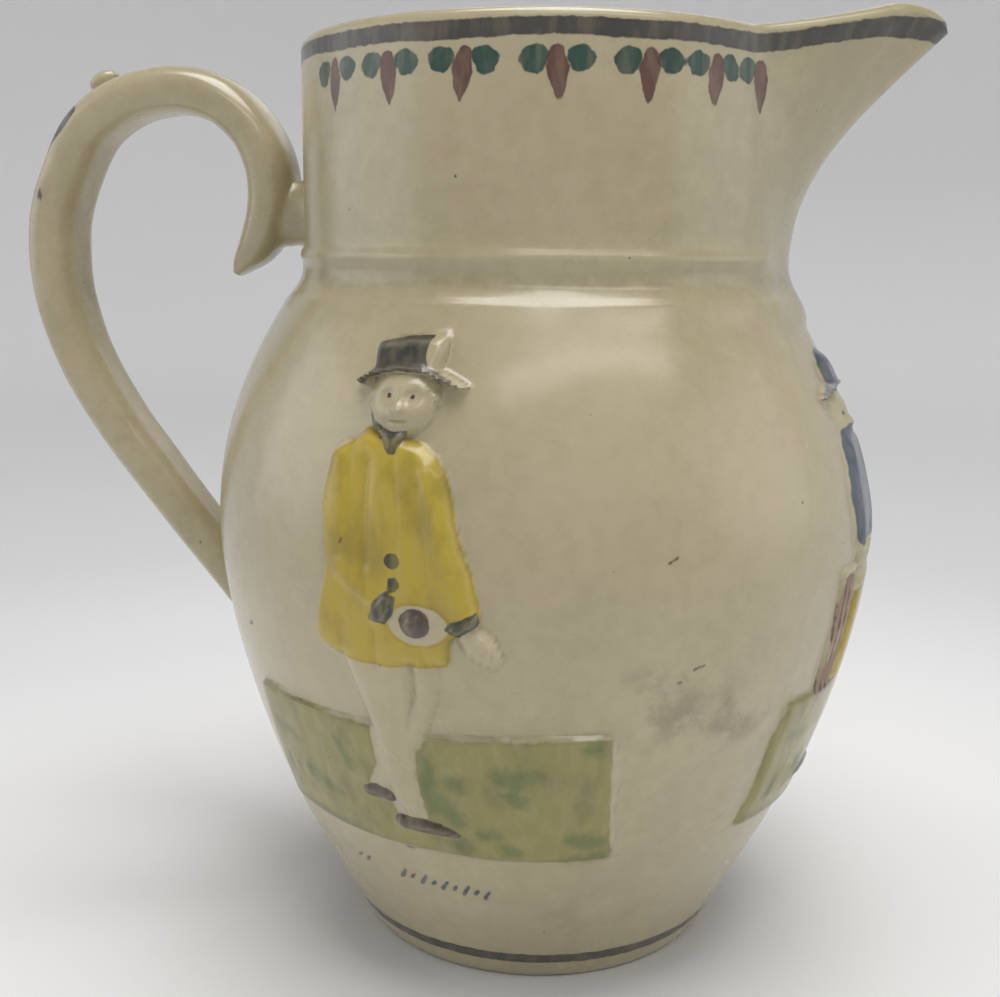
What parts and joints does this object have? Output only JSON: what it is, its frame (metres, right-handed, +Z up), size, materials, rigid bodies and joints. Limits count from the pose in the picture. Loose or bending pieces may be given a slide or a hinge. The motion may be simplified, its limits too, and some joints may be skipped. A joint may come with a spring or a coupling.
{
  "type": "pottery jug",
  "caption": "Glazed pottery jug with a round belly, straight neck, pouring spout, scrolled strap handle and painted figures in relief round the wall.",
  "frame": {"origin": "centre of the flat underside of the foot", "axes": "+Z up, +X towards the tip of the spout, -X towards the handle, -Y the side with the bowler figure"},
  "size_m": [0.2103, 0.1543, 0.2064],
  "materials": {
    "glaze": "glossy cream lead glaze with painted enamel colours"
  },
  "bodies": {
    "root": {"jug": "glaze"}
  },
  "joints": []
}
